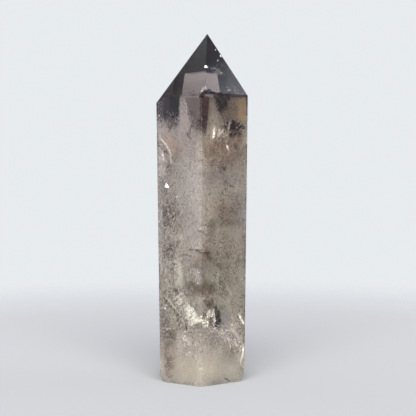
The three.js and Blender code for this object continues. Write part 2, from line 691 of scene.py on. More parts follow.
def grain_finish(name, stops, roughness, tints=None, let_through=LIGHT_LET_THROUGH):
    """A matt mineral grain, whose own shade picks its colour from these stops.

    Where tints are given, soft clouds in the stone pick one for it too.
    """
    finish, tree = new_finish(name, {"Roughness": roughness})
    colour = ramp(tree, own_shade(tree), stops)
    if tints:
        place = place_in_mm(tree)
        clouds = noise_of(tree, place, TINT_CLOUD_SIZE, w=5.0, detail=3.0)
        across = product(tree, parts_of(tree, place)["X"], TINT_PER_MM_ACROSS)
        tint = ramp(tree, total(tree, clouds, across), tints)
        colour = mixed_colour(tree, 1.0, colour, tint, blend="MULTIPLY")
    let_light_through(tree, colour, let_through)
    return finish


pale_grains = grain_finish(
    "pale_grains",
    [
        (0.0, (0.20, 0.14, 0.10)), (0.04, (0.45, 0.35, 0.27)), (0.08, (0.93, 0.90, 0.86)),
        (0.6, (1.0, 0.99, 0.97)), (1.0, (1.0, 1.0, 1.0)),
    ],
    roughness=0.6,
    tints=[
        (0.30, (1.0, 0.985, 0.965)), (0.45, (1.0, 0.99, 0.955)), (0.60, (0.985, 0.96, 0.90)),
        (0.75, (0.96, 0.93, 0.83)),
    ],
)

# The coarse veils stand apart, with clear stone between them. A finer mist fills the lower half.
veils(
    "pale_veils", pale_grains, grains=760000, seed=2, veil_size=9.0, veil_thickness=0.05,
    patch_start=0.40, patch_end=0.60, top=70.0, top_fade=6.0, smallest=0.08, largest=0.22,
    depth=0.8, stretch=3.2, twist=2.2, spin=0.7, sway=8.0, top_wave=16.0,
)
veils(
    "fine_mist", pale_grains, grains=760000, seed=17, veil_size=12.0, veil_thickness=0.07,
    patch_size=8.0, patch_start=0.42, patch_end=0.60, bottom=28.0, bottom_fade=22.0, top=68.5,
    top_fade=6.0, smallest=0.05, largest=0.16, depth=0.7, stretch=1.8, twist=2.2, top_wave=16.0,
)

# At the foot the veils close up into an even pale haze, fine as milk. It is made of the same
# shards, cream-coloured and smaller, and reaches almost to the surface.
cream_grains = grain_finish(
    "cream_grains",
    [(0.0, (0.76, 0.66, 0.52)), (0.05, (1.0, 0.94, 0.83)), (1.0, (1.0, 0.97, 0.89))],
    roughness=0.6, let_through=0.2,
)
veils(
    "foot_haze", cream_grains, grains=560000, seed=5, veil_size=5.0, veil_thickness=0.5,
    patch_size=4.0, patch_start=0.3, patch_end=0.5, top=11.0, top_fade=9.0, top_wave=14.0,
    smallest=0.05, largest=0.13, depth=0.15, stretch=1.1, tilt=0.4, twist=0.8,
)

# Darker minerals came in along single cracks: small clouds and streaks of brown and black
# specks. Each follows a short line, given by where it shows in the photo and how far it lies
# under the polished face there.
STROKE_SOCKETS = {"Wander": ("NodeSocketFloat", 1.0), "Step": ("NodeSocketFloat", 0.1)}
DRIFT_FINENESS = 0.6
DRIFT_REACH = 4.0
TOWARDS_THE_RIM = 0.6
SHADES_VARY = 0.25
stone_faces = BVHTree.FromPolygons(
    [vertex.co for vertex in stone_mesh.vertices],
    [list(face.vertices) for face in stone_mesh.polygons],
)


def bent_into_stone(way, outwards):
    """How light that meets the polished face this way goes on inside the stone."""
    facing = -way.dot(outwards)
    bent = math.sqrt(1 - (1 - facing**2) / QUARTZ_IOR**2)
    return way / QUARTZ_IOR + outwards * (facing / QUARTZ_IOR - bent)


def sight_into_stone(across, down):
    """Where a pixel's sight line enters the stone, its way on, and what flashes on that way.

    The last is how a flat flake has to face to mirror the window to the camera there.
    """
    half = PHOTO_SIDE / 2
    sight = Vector(((across - half) / FOCAL_PIXELS, (half - down) / FOCAL_PIXELS, -1))
    sight.rotate(camera.rotation_euler)
    sight.normalize()
    place, outwards, _, _ = stone_faces.ray_cast(CAMERA_PLACE, sight)
    inwards = bent_into_stone(sight, outwards)
    from_window = bent_into_stone(-WINDOW_TOWARDS.normalized(), outwards)
    return place, inwards, -(inwards + from_window).normalized()


def seen_at(across, down, depth):
    """The point that shows at a pixel of the photo, this many millimetres into the stone."""
    place, inwards, _ = sight_into_stone(across, down)
    return place + inwards * depth * MM


def turn_to_window(across, down):
    """The numbers that turn a shard at this pixel of the photo so that it catches the light."""
    face = sight_into_stone(across, down)[2]
    return {"facing": math.atan2(face.x, -face.y), "lean": math.asin(face.z)}


def form_with_numbers(name, points, edges, faces, numbers):
    """A mesh whose points carry named numbers, and a colour where a value has three parts."""
    form = bpy.data.meshes.new(name)
    form.from_pydata(points, edges, faces)
    for key in numbers[0]:
        values = [point[key] for point in numbers]
        kind, slot = ("FLOAT_VECTOR", "vector") if key == "stain" else ("FLOAT", "value")
        flat = [part for value in values for part in value] if key == "stain" else values
        form.attributes.new(key, kind, "POINT").data.foreach_set(slot, flat)
    return form


def make_stroke_tree():
    """Sets shards along lines, crowded and spread as the numbers on their points say."""
    tree, given = new_tree("shards_along_lines", STROKE_SOCKETS | SHARD_SOCKETS)
    seed = given["Seed"]
    curve = node(tree, "GeometryNodeMeshToCurve", {0: given["Geometry"]}).outputs[0]
    smooth = node(
        tree, "GeometryNodeCurveSplineType", {"Curve": curve}, spline_type="CATMULL_ROM"
    ).outputs[0]
    line = node(
        tree, "GeometryNodeCurveToPoints",
        {"Curve": smooth, "Length": product(tree, given["Step"], MM)}, mode="LENGTH",
    ).outputs[0]
    drift = node(
        tree, "ShaderNodeTexNoise",
        {"Vector": place_in_mm(tree), "W": seed, "Scale": DRIFT_FINENESS, "Detail": 2.0},
        noise_dimensions="4D",
    ).outputs["Color"]
    drift = vector_math(tree, "SUBTRACT", drift, (0.5, 0.5, 0.5))
    wandering = moved(tree, line, drift, product(tree, given["Wander"], DRIFT_REACH, MM))
    crowd = node(
        tree, "GeometryNodeDuplicateElements",
        {"Geometry": wandering, "Amount": own_number(tree, "crowd")}, domain="POINT",
    ).outputs[0]
    anyway = random_vector(tree, seed, draw=21, low=-1.0, high=1.0)
    share = math_of(tree, "POWER", random_number(tree, seed, draw=22), TOWARDS_THE_RIM)
    far = product(tree, share, product(tree, own_number(tree, "spread"), MM))
    spread_out = moved(tree, crowd, vector_math(tree, "NORMALIZE", anyway), far)
    shift = random_number(tree, seed, draw=23, low=-SHADES_VARY, high=SHADES_VARY)
    shade = total(tree, own_number(tree, "shade"), shift)
    return end_in_shards(tree, given, marked(tree, spread_out, "shade", shade))


stroke_tree = make_stroke_tree()


def stroke(places, depth, spread, crowd, shade=0.5, size=1.0, slant=None):
    """A line of grains through these pixels of the photo, and how it is filled.

    Its depth and spread are in millimetres, and its crowd is how many grains lie at each step.
    The grains lie along the line unless they are given a slant of their own.
    """
    if slant is None:
        slant = math.atan2(places[-1][0] - places[0][0], places[0][1] - places[-1][1])
    numbers = turn_to_window(*places[0]) | {
        "spread": spread, "crowd": crowd, "shade": shade, "size": size, "slant": slant,
    }
    return [seen_at(across, down, depth) for across, down in places], numbers


def strokes(name, finish, lines, **values):
    """A piece made of all these lines of grains."""
    points, edges, numbers = [], [], []
    for places, line_numbers in lines.values():
        start = len(points)
        points += places
        edges += [(start + step, start + step + 1) for step in range(len(places) - 1)]
        numbers += [line_numbers] * len(places)
    form = form_with_numbers(name + "_lines", points, edges, [], numbers)
    return grown(name, stroke_tree, form, finish, **values)


# Each line has its pixels in the photo, then its depth, spread, crowd, shade and size.
DARK_STREAKS = {
    "under the point, left": stroke([(202, 97), (205, 93), (210, 91.7)], 1.0, 0.35, 10, 0.15),
    "under the point, middle": stroke([(209, 91.7), (216, 92), (222, 93.5)], 1.0, 0.3, 10, 0.15),
    "under the point, right": stroke([(221, 93.5), (226, 95), (230, 99)], 1.0, 0.35, 10, 0.15),
    "ring 1": stroke([(217, 95), (222, 97), (226, 102), (224, 107)], 1.2, 0.5, 5, 0.4),
    "ring 2": stroke([(214, 98), (218, 101), (221, 106), (220, 112)], 1.6, 0.7, 5, 0.5),
    "leaf": stroke([(191, 126), (190.5, 130), (190.5, 134)], 1.5, 0.3, 4, 0.65),
    "leaf, left side": stroke([(186, 133), (189, 137), (192, 140)], 1.5, 0.25, 2, 0.6),
    "smudge": stroke([(197, 121), (198, 126), (196, 131)], 2.5, 1.0, 2, 0.6),
    "starburst, up": stroke([(238.5, 120), (236.5, 124), (234, 128)], 1.5, 0.45, 26, 0.15, 0.9),
    "starburst, left": stroke([(227.5, 123), (231, 126), (234, 128.5)], 1.5, 0.4, 16, 0.2, 0.9),
    "starburst, middle": stroke([(233, 121), (233.5, 125), (234, 130)], 1.6, 0.5, 26, 0.15, 0.9),
    "starburst, right": stroke([(234, 127), (238, 128), (242, 128.5)], 1.5, 0.45, 16, 0.2, 0.9),
    "starburst, down": stroke([(235.5, 128), (234.5, 132), (232, 137)], 1.6, 0.6, 18, 0.3, 0.9),
    "starburst, ray 1": stroke([(228.5, 131), (231, 129), (234, 127)], 1.4, 0.2, 9, 0.25, 0.8),
    "starburst, ray 2": stroke([(229, 136), (231.5, 132.5), (234, 129)], 1.4, 0.2, 9, 0.25, 0.8),
    "starburst, ray 3": stroke([(241.5, 122), (239, 124.5), (236, 127)], 1.4, 0.25, 9, 0.2, 0.8),
    "starburst, ray 4": stroke([(240, 134), (238, 131), (235, 128)], 1.4, 0.2, 8, 0.25, 0.8),
    "line under the ridge": stroke(
        [(207.6, 71.5), (207.5, 82), (207, 92)], 0.7, 0.03, 1, 0.5, 0.3,
    ),
    "starburst, core": stroke([(232, 127), (235, 128), (238, 127.5)], 1.7, 0.8, 70, 0.15, 0.8),
    "by the starburst": stroke([(224, 124), (225, 128), (224, 132)], 1.8, 0.4, 3, 0.45),
    "below the blob": stroke([(220.5, 139), (222, 141), (223.5, 143)], 2, 0.6, 4, 0.5),
    "right speck 1": stroke([(236, 147), (237.5, 148)], 1.5, 0.5, 5, 0.45),
    "right speck 2": stroke([(224, 168), (226, 170.5)], 1.1, 0.3, 6, 0.4),
    "right speck 3": stroke([(242.6, 175.5), (244.2, 177)], 1.0, 0.35, 7, 0.35),
    "right speck 4": stroke([(231, 185.5), (234, 187.5)], 1.1, 0.3, 5, 0.5),
    "left cloud 1": stroke([(172, 203), (166, 212), (163, 222)], 1.3, 1.6, 3, 0.55),
    "left cloud 2": stroke([(175, 212), (171, 220), (168, 228)], 1.3, 1.4, 3, 0.6),
    "left cloud, lower": stroke([(166, 242), (170, 249), (173, 256)], 1.3, 1.3, 3, 0.55),
    "right cloud": stroke([(236, 204), (230, 214), (224, 224)], 2, 1.8, 2, 0.65),
    "middle streak 1": stroke([(190, 249.5), (194, 250.6), (199, 250)], 1.1, 0.35, 4, 0.7, 0.8),
    "middle streak 2": stroke([(180, 256), (185, 255), (190, 256)], 1.1, 0.35, 3, 0.8, 0.8),
    "red-brown streak": stroke([(199, 249.5), (203, 251.5), (208, 252)], 1.2, 0.55, 8, 0.6, 0.7),
    "slanting streak": stroke([(206, 255), (211, 259), (218, 265)], 1.5, 0.9, 8, 0.75, 0.7),
    "slanting streak, end": stroke([(218, 264.5), (221, 268)], 1.1, 0.35, 4, 0.6, 0.7),
    "black spot 1": stroke([(219.5, 242.5), (221.5, 243.5)], 1.0, 0.35, 5, 0.45, 0.7),
    "black spot 2": stroke([(226, 253.5), (228, 254.5)], 1.0, 0.3, 6, 0.4, 0.7),
    "brown patch 1": stroke([(186, 287), (192, 289), (199, 290.5)], 2, 1.3, 8, 0.65, 0.7),
    "brown patch 2": stroke([(203, 284), (209, 288), (217, 290)], 2, 1.3, 8, 0.65, 0.7),
    "brown patch, tail": stroke([(200.5, 286), (200, 291), (199.5, 297)], 1.2, 0.4, 6, 0.6, 0.7),
    "left of the oval": stroke([(176, 289), (176.5, 292), (178, 295)], 1.0, 0.5, 5, 0.45, 0.8),
    "dark block, top": stroke([(216, 306), (215.6, 312)], 1.2, 0.5, 4, 0.3),
    "dark block": stroke([(217.5, 314), (218, 321), (217.5, 327)], 1.4, 0.8, 12, 0.2, 1.4),
    "slanting crack": stroke(
        [(160.5, 295), (166, 301), (173, 309.5), (181, 321)], 0.95, 0.12, 6, 0.35, 0.55,
    ),
    "slanting crack, second": stroke(
        [(164, 297.5), (171, 304), (178, 313), (185, 322), (187, 330)], 0.95, 0.12, 6, 0.4, 0.55,
    ),
    "slanting crack, end": stroke([(176, 317), (179, 323), (180, 329)], 0.95, 0.12, 5, 0.45, 0.55),
    "spot low left": stroke([(167.5, 332.5), (168.6, 333.6)], 1, 0.3, 9, 0.35),
    "pit at the foot": stroke([(226.7, 379), (228.2, 380.2)], 0.9, 0.25, 6, 0.2),
    # The two crack-shadow lines are painted shadow: dark grains beside the bright left crack.
    "crack shadow": stroke([(157.5, 143), (161, 147), (166, 153)], 1.6, 0.5, 2, 0.75),
    "crack shadow, edge": stroke([(159.5, 140), (164, 147), (169, 153)], 1.4, 0.12, 1, 0.7, 0.7),
}
dark_grains = grain_finish(
    "dark_grains",
    [
        (0.0, (0.018, 0.012, 0.013)), (0.3, (0.07, 0.036, 0.030)), (0.6, (0.16, 0.10, 0.075)),
        (1.0, (0.36, 0.25, 0.18)),
    ],
    roughness=0.5, let_through=0.15,
)
strokes(
    "dark_streaks", dark_grains, DARK_STREAKS, seed=3, smallest=0.05, largest=0.20, depth=0.55,
    stretch=3.0, wander=0.5, twist=1.2, spin=0.4,
)

# Elsewhere the same dark specks lie singly, all through the column. They are scattered along
# thin veils of their own, as the pale grains are.
veils(
    "lone_specks", dark_grains, grains=26000, seed=9, veil_size=7.0, veil_thickness=0.04,
    patch_size=9.0, patch_start=0.45, patch_end=0.65, top=72.0, top_fade=8.0,
    smallest=0.04, largest=0.16, depth=0.6, stretch=2.6,
)

# Pale streaks and clouds are the same healed cracks where they are widest: their grains are
# larger, white to cream, and lie close together.
PALE_STREAKS = {
    "left crack": stroke(
        [(159.5, 137.5), (164.5, 143.5), (168, 148.5), (171.5, 154)], 1.3, 0.14, 5, 0.6, 0.8,
    ),
    "left crack, end": stroke([(171.5, 155), (170, 158.5), (170.5, 163)], 1.4, 0.2, 3, 0.7, 0.8),
    "left spot 1": stroke([(162.3, 154.5), (163, 156)], 1.5, 0.3, 5, 0.9),
    "left spot 2": stroke([(163, 158), (163.6, 159.5)], 1.5, 0.3, 5, 0.9),
    "wedge edge": stroke([(183, 98), (187, 112), (190, 124), (193, 139)], 1.8, 0.3, 1, 0.8, 0.7),
    "blob": stroke([(214.5, 128.5), (213.6, 133), (212, 139)], 1.5, 0.75, 12, 0.8, 0.8),
    "blob, left side": stroke([(211, 130), (211, 135)], 1.8, 0.5, 5, 0.7, 0.8),
    "streak by the blob 1": stroke([(222, 129), (220, 134), (217.5, 140)], 1.3, 0.25, 6, 0.8),
    "streak by the blob 2": stroke([(219, 130), (218, 135)], 1.3, 0.2, 6, 0.8),
    "streak by the blob 3": stroke([(229, 122.5), (229.6, 127), (229, 131)], 1.2, 0.2, 4, 0.8),
    "pink fleck 1": stroke([(226, 144.5), (228, 149)], 1.4, 0.25, 12, 0.95),
    "pink fleck 2": stroke([(229.6, 149.5), (231.5, 152.5)], 1.4, 0.3, 10, 0.95),
    "yellow specks": stroke([(180, 210), (183, 213), (187, 213)], 2, 0.6, 2, 0.2, 0.8),
    "cream spot": stroke([(178, 272), (178.5, 277), (177.5, 282)], 1.5, 0.8, 4, 0.5, 0.8),
    "feather 1": stroke([(174, 300), (178, 296), (182, 293.5)], 0.9, 0.3, 4, 0.75),
    "feather 2": stroke([(176.5, 303), (181, 299), (185, 297)], 0.9, 0.25, 4, 0.75),
    "feather 3": stroke([(179, 306), (182.5, 302.5), (186, 300)], 0.9, 0.2, 4, 0.75),
    "feather 4": stroke([(181, 309), (184.5, 305.5), (187.5, 303.5)], 0.9, 0.2, 4, 0.75),
    "feather 5": stroke([(183, 312), (186.5, 308.5), (189.5, 306.5)], 0.9, 0.2, 4, 0.75),
    "feather 6": stroke([(185.5, 315), (188.5, 311.5), (191.5, 309.5)], 0.9, 0.2, 4, 0.75),
    "oval": stroke([(189, 318), (193, 319.5), (197, 319)], 2.0, 1.1, 14, 0.75, 0.8),
    "bright block, right": stroke(
        [(213.6, 312), (213.8, 319), (213.9, 327)], 1.3, 0.35, 9, 0.8, 0.8,
    ),
    "bright block, left": stroke([(203.5, 313), (203.5, 320), (204, 327)], 1.5, 0.5, 4, 0.8, 0.8),
    "blue patch": stroke([(225, 317), (227, 321)], 2, 0.7, 3, 0.9, 0.8),
    "spot above the block 1": stroke([(207.5, 301.5), (208.6, 304)], 1.4, 0.35, 7, 0.9),
    "spot above the block 2": stroke([(203.5, 296), (206, 298)], 1.5, 0.3, 4, 0.8),
    "spot above the block 3": stroke([(209, 295.5), (212, 297.5)], 1.5, 0.3, 4, 0.8),
    "slanting crack, lit side": stroke(
        [(166, 297.5), (173, 305), (179, 313.5), (185, 325)], 0.85, 0.14, 7, 0.7, 0.7,
    ),
    "white cloud, left": stroke([(181, 334), (186, 338), (190, 343)], 1.1, 1.0, 7, 0.9, 0.8),
    "white cloud, right 1": stroke([(215, 328), (222, 334), (232, 342)], 1.1, 1.2, 6, 0.9, 0.8),
    "white cloud, right 2": stroke([(230, 326), (235, 333), (241, 341)], 1.1, 0.9, 6, 0.85, 0.8),
    "right streak 1": stroke([(239, 315), (241.5, 319), (244, 323.5)], 0.9, 0.25, 6, 0.85),
    "right streak 2": stroke([(231, 323), (233.4, 327)], 1.2, 0.3, 6, 0.9),
    "right streak 3": stroke([(233.5, 340), (235.6, 344)], 1.3, 0.3, 6, 0.9),
    "right streak 4": stroke([(217.5, 347.5), (220.5, 350.5)], 1.3, 0.3, 5, 0.85),
    "lens, outer": stroke(
        [(240, 362), (242.4, 356), (243.1, 350), (242.6, 345)], 0.9, 0.22, 9, 0.45,
    ),
    "lens, inner": stroke([(236.6, 357), (239.6, 351), (242.2, 345.5)], 1.1, 0.2, 8, 0.5),
    "haze by the shoulder": stroke([(228, 90), (233, 88), (238, 87)], 1.2, 0.9, 1, 0.85, 0.5),
    "haze by the shoulder, left": stroke(
        [(222, 93), (226, 91), (230, 90)], 1.2, 0.7, 1, 0.85, 0.45,
    ),
    "quad foot": stroke([(203, 92), (206, 90), (212, 91.5), (219, 93)], 1.2, 0.4, 1, 0.9, 0.7),
    "specks in the quad": stroke([(202, 91), (205.8, 87)], 1.6, 0.4, 1, 0.9, 0.8),
    "glassy patch 1": stroke([(210, 68), (213, 67), (216, 68)], 1.0, 0.4, 1, 0.6, 0.3),
    "glassy patch 2": stroke([(217, 70), (220, 71.5), (223, 74.5)], 1.0, 0.5, 1, 0.4, 0.5),
    "wisp": stroke([(219, 66), (225, 65.5), (229, 69)], 1.5, 0.8, 1, 0.95, 0.35),
}
white_grains = grain_finish(
    "white_grains",
    [
        (0.0, (0.86, 0.76, 0.52)), (0.4, (0.95, 0.88, 0.74)), (0.7, (0.99, 0.96, 0.88)),
        (0.9, (1.0, 0.97, 0.95)), (1.0, (1.0, 0.95, 0.93)),
    ],
    roughness=0.35,
)
strokes(
    "pale_streaks", white_grains, PALE_STREAKS, seed=4, smallest=0.07, largest=0.26, depth=0.5,
    stretch=3.0, wander=0.4, tilt=0.5, twist=0.9, spin=0.3,
)

# Rust-coloured water once seeped into cracks under the shoulder. It left them stained, as thin
# clear films of ochre, brown and red-brown, and they tint what shows through the flats there.
# The last film, under the whole right flat, is no stain but painted shade that darkens that flat.
FILM_STEPS = 24
BOWS_ACROSS, BOWS_DOWN = 2.0, 3.1
STREAKS_DRAWN_UP = (1.0, 1.0, 0.35)
FILM_BLOTCH_SIZE = 2.5
FILM_BLOTCHES = (0.35, 0.62)
SHARP = 0.001


def shares_of_grid(steps):
    """How far across and down each point of a grid lies, row by row, from 0 to 1."""
    numbers = range(steps + 1)
    return [(column / steps, row / steps) for row in numbers for column in numbers]


def faces_of_grid(steps, start=0):
    """The faces between a grid's points, when the first point has this number."""
    wide = steps + 1
    corners = [start + row * wide + column for row in range(steps) for column in range(steps)]
    return [(corner, corner + wide, corner + wide + 1, corner + 1) for corner in corners]


def pixel_between(corners, along, down):
    """The pixel at these shares across and down, with the corners clockwise from upper left."""
    upper_left, upper_right, lower_right, lower_left = (Vector(corner) for corner in corners)
    return upper_left.lerp(lower_left, down).lerp(upper_right.lerp(lower_right, down), along)


def thinned(tree, place, start, end):
    """1 along the middle of a film, and down to 0 over these shares at its two ends."""
    return product(
        tree, eased(tree, place, 0.0, start), eased(tree, place, 1 - end, 1.0, 1.0, 0.0)
    )


def film_finish(name, colours, fades, patchy):
    """A clear stain, from its left colour to its right one, that fades out at its sides."""
    finish, tree = clear_finish(name, 1.0)
    blotches = noise_of(
        tree, vector_math(tree, "MULTIPLY", place_in_mm(tree), STREAKS_DRAWN_UP),
        FILM_BLOTCH_SIZE, w=7.0, detail=3.0,
    )
    on_film = parts_of(tree, node(tree, "ShaderNodeUVMap", uv_map="across and down").outputs[0])
    left, right, top, bottom = fades
    strong = product(
        tree, thinned(tree, on_film["X"], left, right), thinned(tree, on_film["Y"], top, bottom),
        eased(tree, blotches, *FILM_BLOTCHES, 1 - patchy, 1.0),
    )
    stain = mixed_colour(tree, on_film["X"], (*colours[0], 1), (*colours[1], 1))
    tint = mixed_colour(tree, strong, (1, 1, 1, 1), stain)
    feed(tree, tree.nodes["Principled BSDF"], {"Base Color": tint})
    return finish


def film(name, corners, depths, colours, fades=(0.2, 0.2, 0.05, 0.4), patchy=0.5, bow=0.5):
    """A thin stained sheet between four pixels of the photo, from its upper left one clockwise.

    Its depths are at its top and bottom, and its colours are its left and right ones. The fades
    are the shares of it over which it thins out at the left, right, top and bottom.
    """
    shares = shares_of_grid(FILM_STEPS)
    points = []
    for along, down in shares:
        depth = depths[0] + (depths[1] - depths[0]) * down
        rise = bow * math.sin(BOWS_DOWN * down + BOWS_ACROSS * along)
        points.append(seen_at(*pixel_between(corners, along, down), depth + rise))
    mesh = bpy.data.meshes.new(name)
    mesh.from_pydata(points, [], faces_of_grid(FILM_STEPS))
    mesh.shade_smooth()
    uv = mesh.uv_layers.new(name="across and down")
    for loop in mesh.loops:
        uv.data[loop.index].uv = shares[loop.vertex_index]
    mesh.materials.append(film_finish(name, colours, fades, patchy))
    return set_in_stone(name, mesh)


film(
    "red_brown_film", [(202.0, 96), (211.0, 96), (206.4, 141), (201.8, 141)], (0.8, 1.2),
    [(0.05, 0.010, 0.006), (0.09, 0.024, 0.016)], fades=(SHARP, 0.25, 0.02, 0.5), patchy=0.3,
)
film(
    "grey_film", [(184, 97.5), (200.8, 97.5), (200.6, 137), (195.5, 137)], (1.2, 1.6),
    [(0.46, 0.385, 0.335), (0.38, 0.31, 0.265)], fades=(0.15, SHARP, 0.02, 0.3), patchy=0.2,
)
film(
    "plum_film", [(158, 101.5), (168, 97.5), (167, 120), (158, 118)], (1.0, 1.4),
    [(0.66, 0.48, 0.52), (0.55, 0.42, 0.56)], patchy=0.3,
)
# Painted shade: a greyish clear sheet under the right flat, darkest beside the front edge, which
# makes that flat darker than the left one.
film(
    "right_flat_film", [(202.0, 97), (246.2, 97), (243, 352), (201.2, 352)], (0.35, 0.35),
    [(0.82, 0.795, 0.755), (0.98, 0.975, 0.95)], fades=(SHARP, 0.1, 0.15, 0.25), patchy=0.3,
    bow=0.1,
)

# Elsewhere the stains and smoke clouds are too dense to be clear. They are powders of very fine
# grains, spread thinly over sheets in the stone: ochre, brown, cream and grey. The pale strips
# along both sides of the stone are painted highlights instead.
SHEET_SOCKETS = {"Blotch Size": ("NodeSocketFloat", 1.4)}
SHEET_BLOTCHES = (0.42, 0.58)
SHEET_STEPS = 10
GRAINS_FOR_FULL_COVER = 330 / MM**2
WHITE = (1.0, 1.0, 1.0)


def make_sheet_tree():
    """Sprinkles shards over faces, as dense, blotchy and spread as the numbers on them say."""
    tree, given = new_tree("shards_on_sheets", SHEET_SOCKETS | SHARD_SOCKETS)
    seed = given["Seed"]
    points = node(
        tree, "GeometryNodeDistributePointsOnFaces",
        {"Mesh": given["Geometry"], "Density": own_number(tree, "density"), "Seed": seed},
    ).outputs["Points"]
    blotches = noise_of(tree, place_in_mm(tree), given["Blotch Size"], w=seed, detail=3.0)
    gaps = eased(tree, blotches, *SHEET_BLOTCHES, 1.0, 0.0)
    bare = product(tree, own_number(tree, "patchy"), gaps)
    luck = random_number(tree, seed, draw=31)
    kept = without(tree, points, math_of(tree, "LESS_THAN", luck, bare))
    anyway = random_vector(tree, seed, draw=32, low=-1.0, high=1.0)
    spread_out = moved(tree, kept, anyway, product(tree, own_number(tree, "spread"), MM))
    shade = random_number(tree, seed, draw=33)
    return end_in_shards(tree, given, marked(tree, spread_out, "shade", shade))


sheet_tree = make_sheet_tree()


def sheet(
    corners, cover, depth, stains=WHITE, patchy=0.9, spread=0.4, slant=0.3,
    fades=(0.25, 0.25, 0.25, 0.25),
):
    """A sheet of powder between four pixels of the photo, from its upper left one clockwise.

    The stains are one colour, or a list of the ones above and below. The cover is 1 where
    the grains hide what lies behind them, and the depth and spread are in millimetres. The fades
    are the shares of it over which it thins out at the left, right, top and bottom.
    """
    above, below = stains if isinstance(stains, list) else (stains, stains)
    left, right, top, bottom = (max(fade, SHARP) for fade in fades)
    turn = turn_to_window(*(Vector(corners[0]) + Vector(corners[2])) / 2)
    points, numbers = [], []
    for along, down in shares_of_grid(SHEET_STEPS):
        points.append(seen_at(*pixel_between(corners, along, down), depth))
        inside = min(1, along / left, (1 - along) / right, down / top, (1 - down) / bottom)
        numbers.append(turn | {
            "density": cover * inside * GRAINS_FOR_FULL_COVER, "patchy": patchy,
            "spread": spread, "size": 1.0, "slant": slant,
            "stain": Vector(above).lerp(Vector(below), down),
        })
    return points, numbers


def sheets(name, finish, patches, **values):
    """A piece made of all these sheets of powder."""
    points, faces, numbers = [], [], []
    for patch_points, patch_numbers in patches.values():
        faces += faces_of_grid(SHEET_STEPS, start=len(points))
        points += patch_points
        numbers += patch_numbers
    form = form_with_numbers(name + "_sheets", points, [], faces, numbers)
    return grown(name, sheet_tree, form, finish, **values)


OCHRE, DULL_OCHRE = (0.93, 0.74, 0.45), (0.76, 0.58, 0.40)
BROWN, DULL_BROWN = (0.56, 0.42, 0.32), (0.68, 0.55, 0.45)
UMBER, OLIVE = (0.10, 0.07, 0.06), (0.40, 0.35, 0.22)
RED_BROWN, GREY_BROWN = (0.52, 0.36, 0.27), (0.38, 0.30, 0.225)
GREENISH_CREAM, CREAM = (0.80, 0.73, 0.60), (1.0, 0.97, 0.87)
PINKISH_WHITE, PEACH = (0.97, 0.89, 0.86), (0.95, 0.78, 0.62)
PEARL, LIGHT_OLIVE = (0.98, 0.96, 0.94), (0.93, 0.905, 0.79)
PLUM, BLUE_GREY = (0.34, 0.28, 0.31), (0.60, 0.64, 0.68)
BLACK, MAROON = (0.06, 0.055, 0.055), (0.13, 0.045, 0.03)

